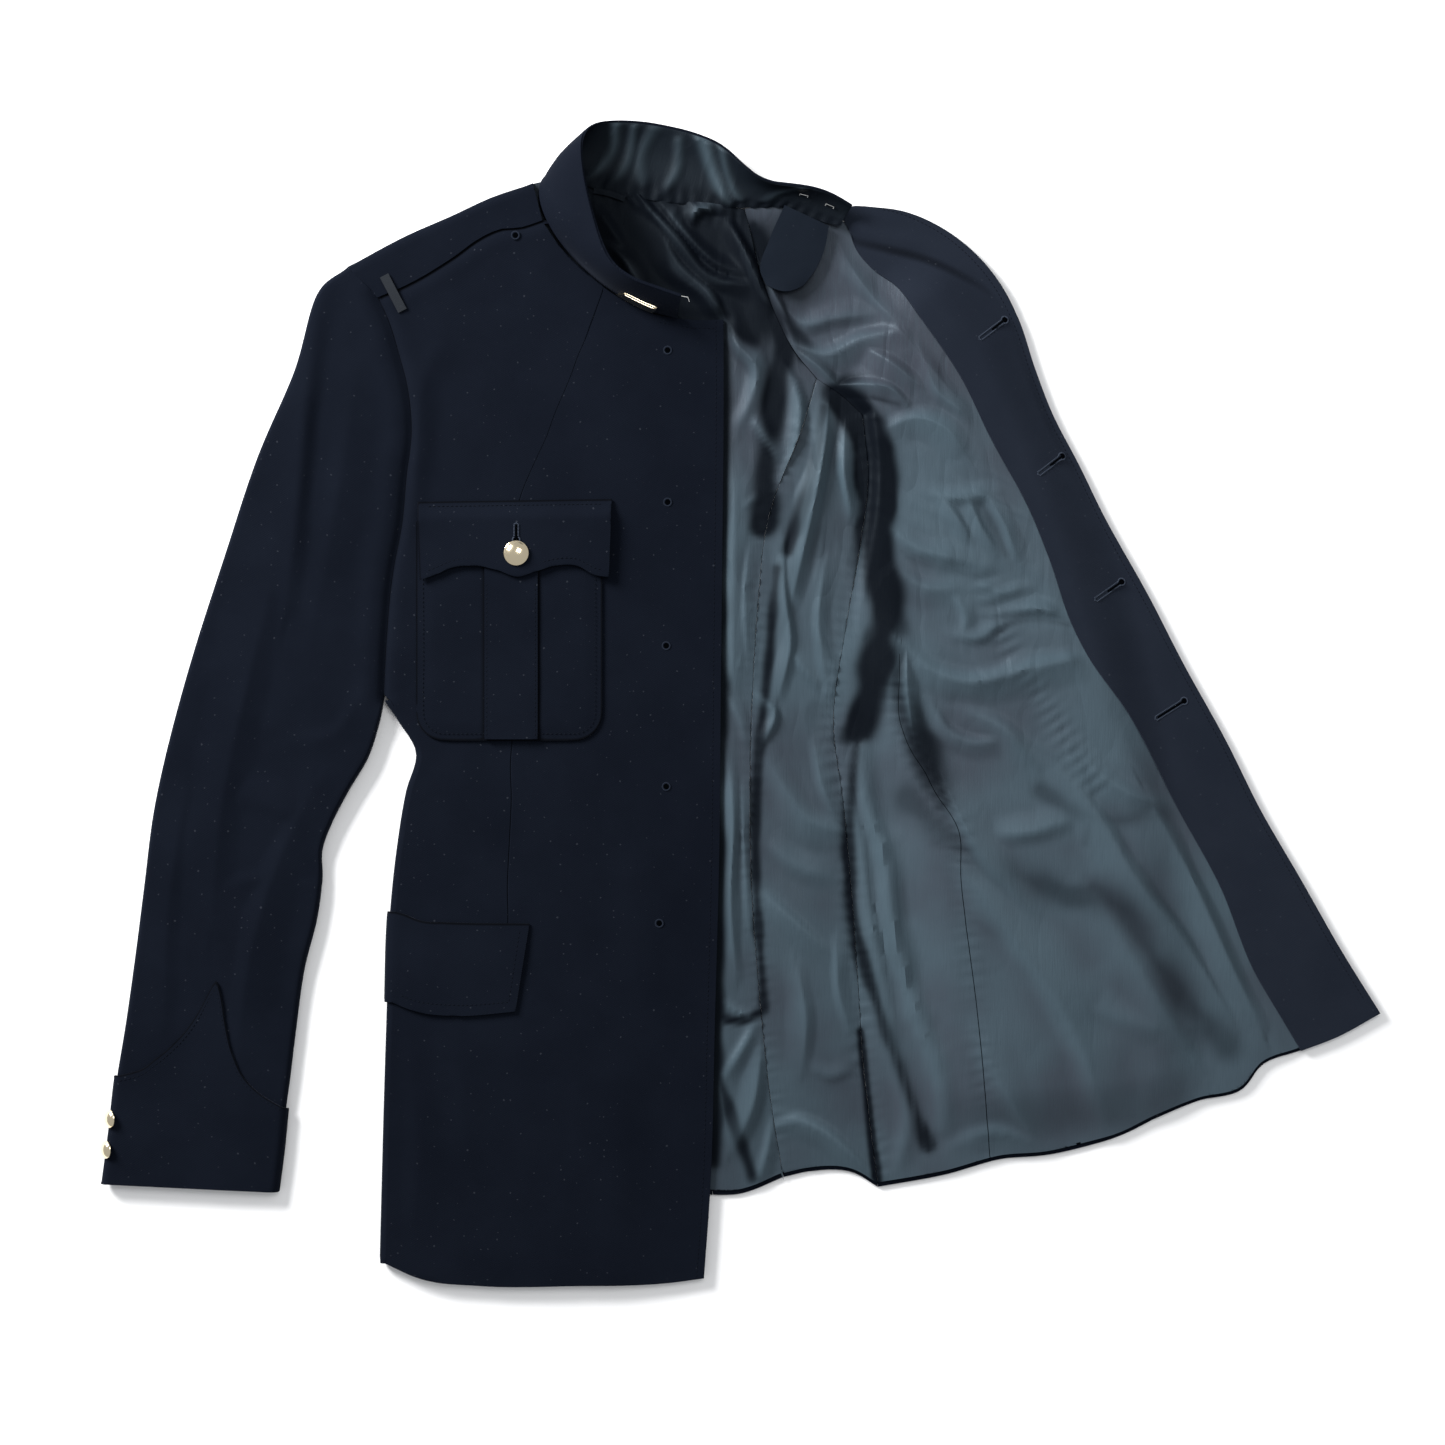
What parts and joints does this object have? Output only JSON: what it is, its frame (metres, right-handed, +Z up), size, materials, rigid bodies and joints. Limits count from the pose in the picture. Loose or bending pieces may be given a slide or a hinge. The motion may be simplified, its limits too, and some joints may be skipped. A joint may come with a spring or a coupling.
{
  "type": "dress uniform jacket",
  "caption": "Navy wool dress uniform jacket with stand collar and patch pocket, laid flat with the left front thrown open to show its satin lining.",
  "frame": {"origin": "centre of the jacket's outline on the surface that it lies on", "axes": "+Z up off the surface, +Y from the hem towards the collar, +X towards the open left front"},
  "size_m": [0.9192, 0.8366, 0.0443],
  "materials": {
    "wool": "very dark navy wool barathea, fine twill, matt with a soft nap",
    "satin": "dark grey-green changeable satin lining, soft sheen",
    "ribbon": "black satin ribbon",
    "gilt": "polished pale gilt metal",
    "steel": "bright wire"
  },
  "bodies": {
    "root": {"back_right": "wool", "back_left": "wool", "side_left": "wool", "front_right": "wool", "front_left": "wool", "facing_left": "wool", "lining_back": "satin", "lining_side_left": "satin", "lining_front_left": "satin", "sleeve_right": "wool", "sleeve_left": "wool", "cuff_right": "wool", "collar": "wool", "collar_lining": "satin", "collar_tab": "wool", "hanger_loop": "satin", "shoulder_loop": "ribbon", "chest_pocket": "wool", "chest_pocket_pleat": "wool", "chest_pocket_flap": "wool", "lower_pocket_flap": "wool", "chest_pocket_button": "gilt", "cuff_button_1": "gilt", "cuff_button_2": "gilt", "collar_bar": "gilt", "collar_hook": "steel", "collar_eye_1": "steel", "collar_eye_2": "steel"}
  },
  "joints": []
}
